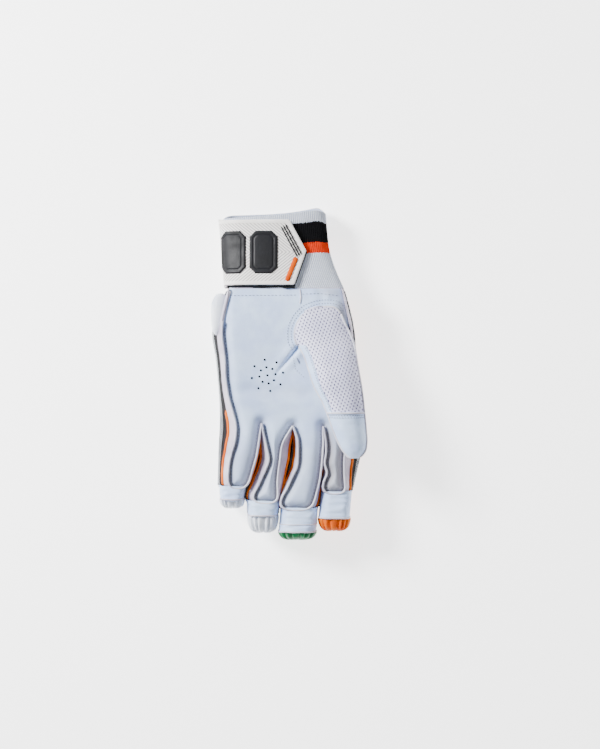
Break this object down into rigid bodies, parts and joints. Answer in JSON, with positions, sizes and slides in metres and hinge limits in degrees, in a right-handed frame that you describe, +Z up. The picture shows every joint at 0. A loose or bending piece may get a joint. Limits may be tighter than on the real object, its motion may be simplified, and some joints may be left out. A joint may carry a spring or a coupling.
{
  "type": "cricket batting glove",
  "caption": "Hollow left-hand batting glove lying palm up: leather palm and fingers on foam rolls, perforated thumb, ribbed wristband and a pointed wrist strap.",
  "frame": {"origin": "middle of the footprint, on the surface that the glove lies on", "axes": "+Z up, out of the palm; +Y out of the wrist opening, with the fingers towards -Y; +X to the thumb side"},
  "size_m": [0.1342, 0.2822, 0.0736],
  "materials": {
    "leather": "soft white sheep leather with a fine grain",
    "gusset": "pale side walls with coloured piping and dark mesh",
    "mesh": "white perforated mesh",
    "knit": "ribbed towelling knit with black and orange bands",
    "white": "white coated cover over foam",
    "green": "glossy green coated cover over foam",
    "orange": "glossy orange coated cover over foam, embossed with small cells",
    "rubber": "off-white moulded rubber with fine ribs",
    "dark": "dark grey raised rubber",
    "tape": "black hook tape"
  },
  "bodies": {
    "root": {"palm_leather": "leather", "back_panel": "gusset", "outer_gusset": "gusset", "fourchette_pinky_ring": "gusset", "fourchette_ring_middle": "gusset", "fourchette_middle_index": "gusset", "thumb_side_gusset": "gusset", "pinky_tip_band": "leather", "pinky_gathered_tip": "white", "pinky_wrist_roll": "white", "pinky_knuckle_roll": "white", "pinky_low_roll": "white", "pinky_mid_roll": "white", "pinky_top_roll": "white", "ring_tip_band": "leather", "ring_gathered_tip": "white", "ring_wrist_roll": "white", "ring_knuckle_roll": "white", "ring_low_roll": "white", "ring_mid_roll": "white", "ring_top_roll": "white", "middle_tip_band": "leather", "middle_gathered_tip": "green", "middle_wrist_roll": "green", "middle_knuckle_roll": "green", "middle_low_roll": "green", "middle_mid_roll": "green", "middle_top_roll": "green", "index_tip_band": "leather", "index_gathered_tip": "orange", "index_wrist_roll": "orange", "index_knuckle_roll": "orange", "index_low_roll": "orange", "index_mid_roll": "orange", "index_top_roll": "orange", "heel_bolster": "white", "thumb_tip": "leather", "thumb_front": "mesh", "thumb_back": "leather", "thumb_guard_low": "rubber", "thumb_guard_top": "rubber", "wristband": "knit", "strap_tape": "tape", "strap_patch": "rubber", "strap_grip_inner": "dark", "strap_grip_outer": "dark", "strap_line_1": "dark", "strap_line_2": "dark", "strap_line_3": "dark", "strap_bar": "orange"}
  },
  "joints": []
}
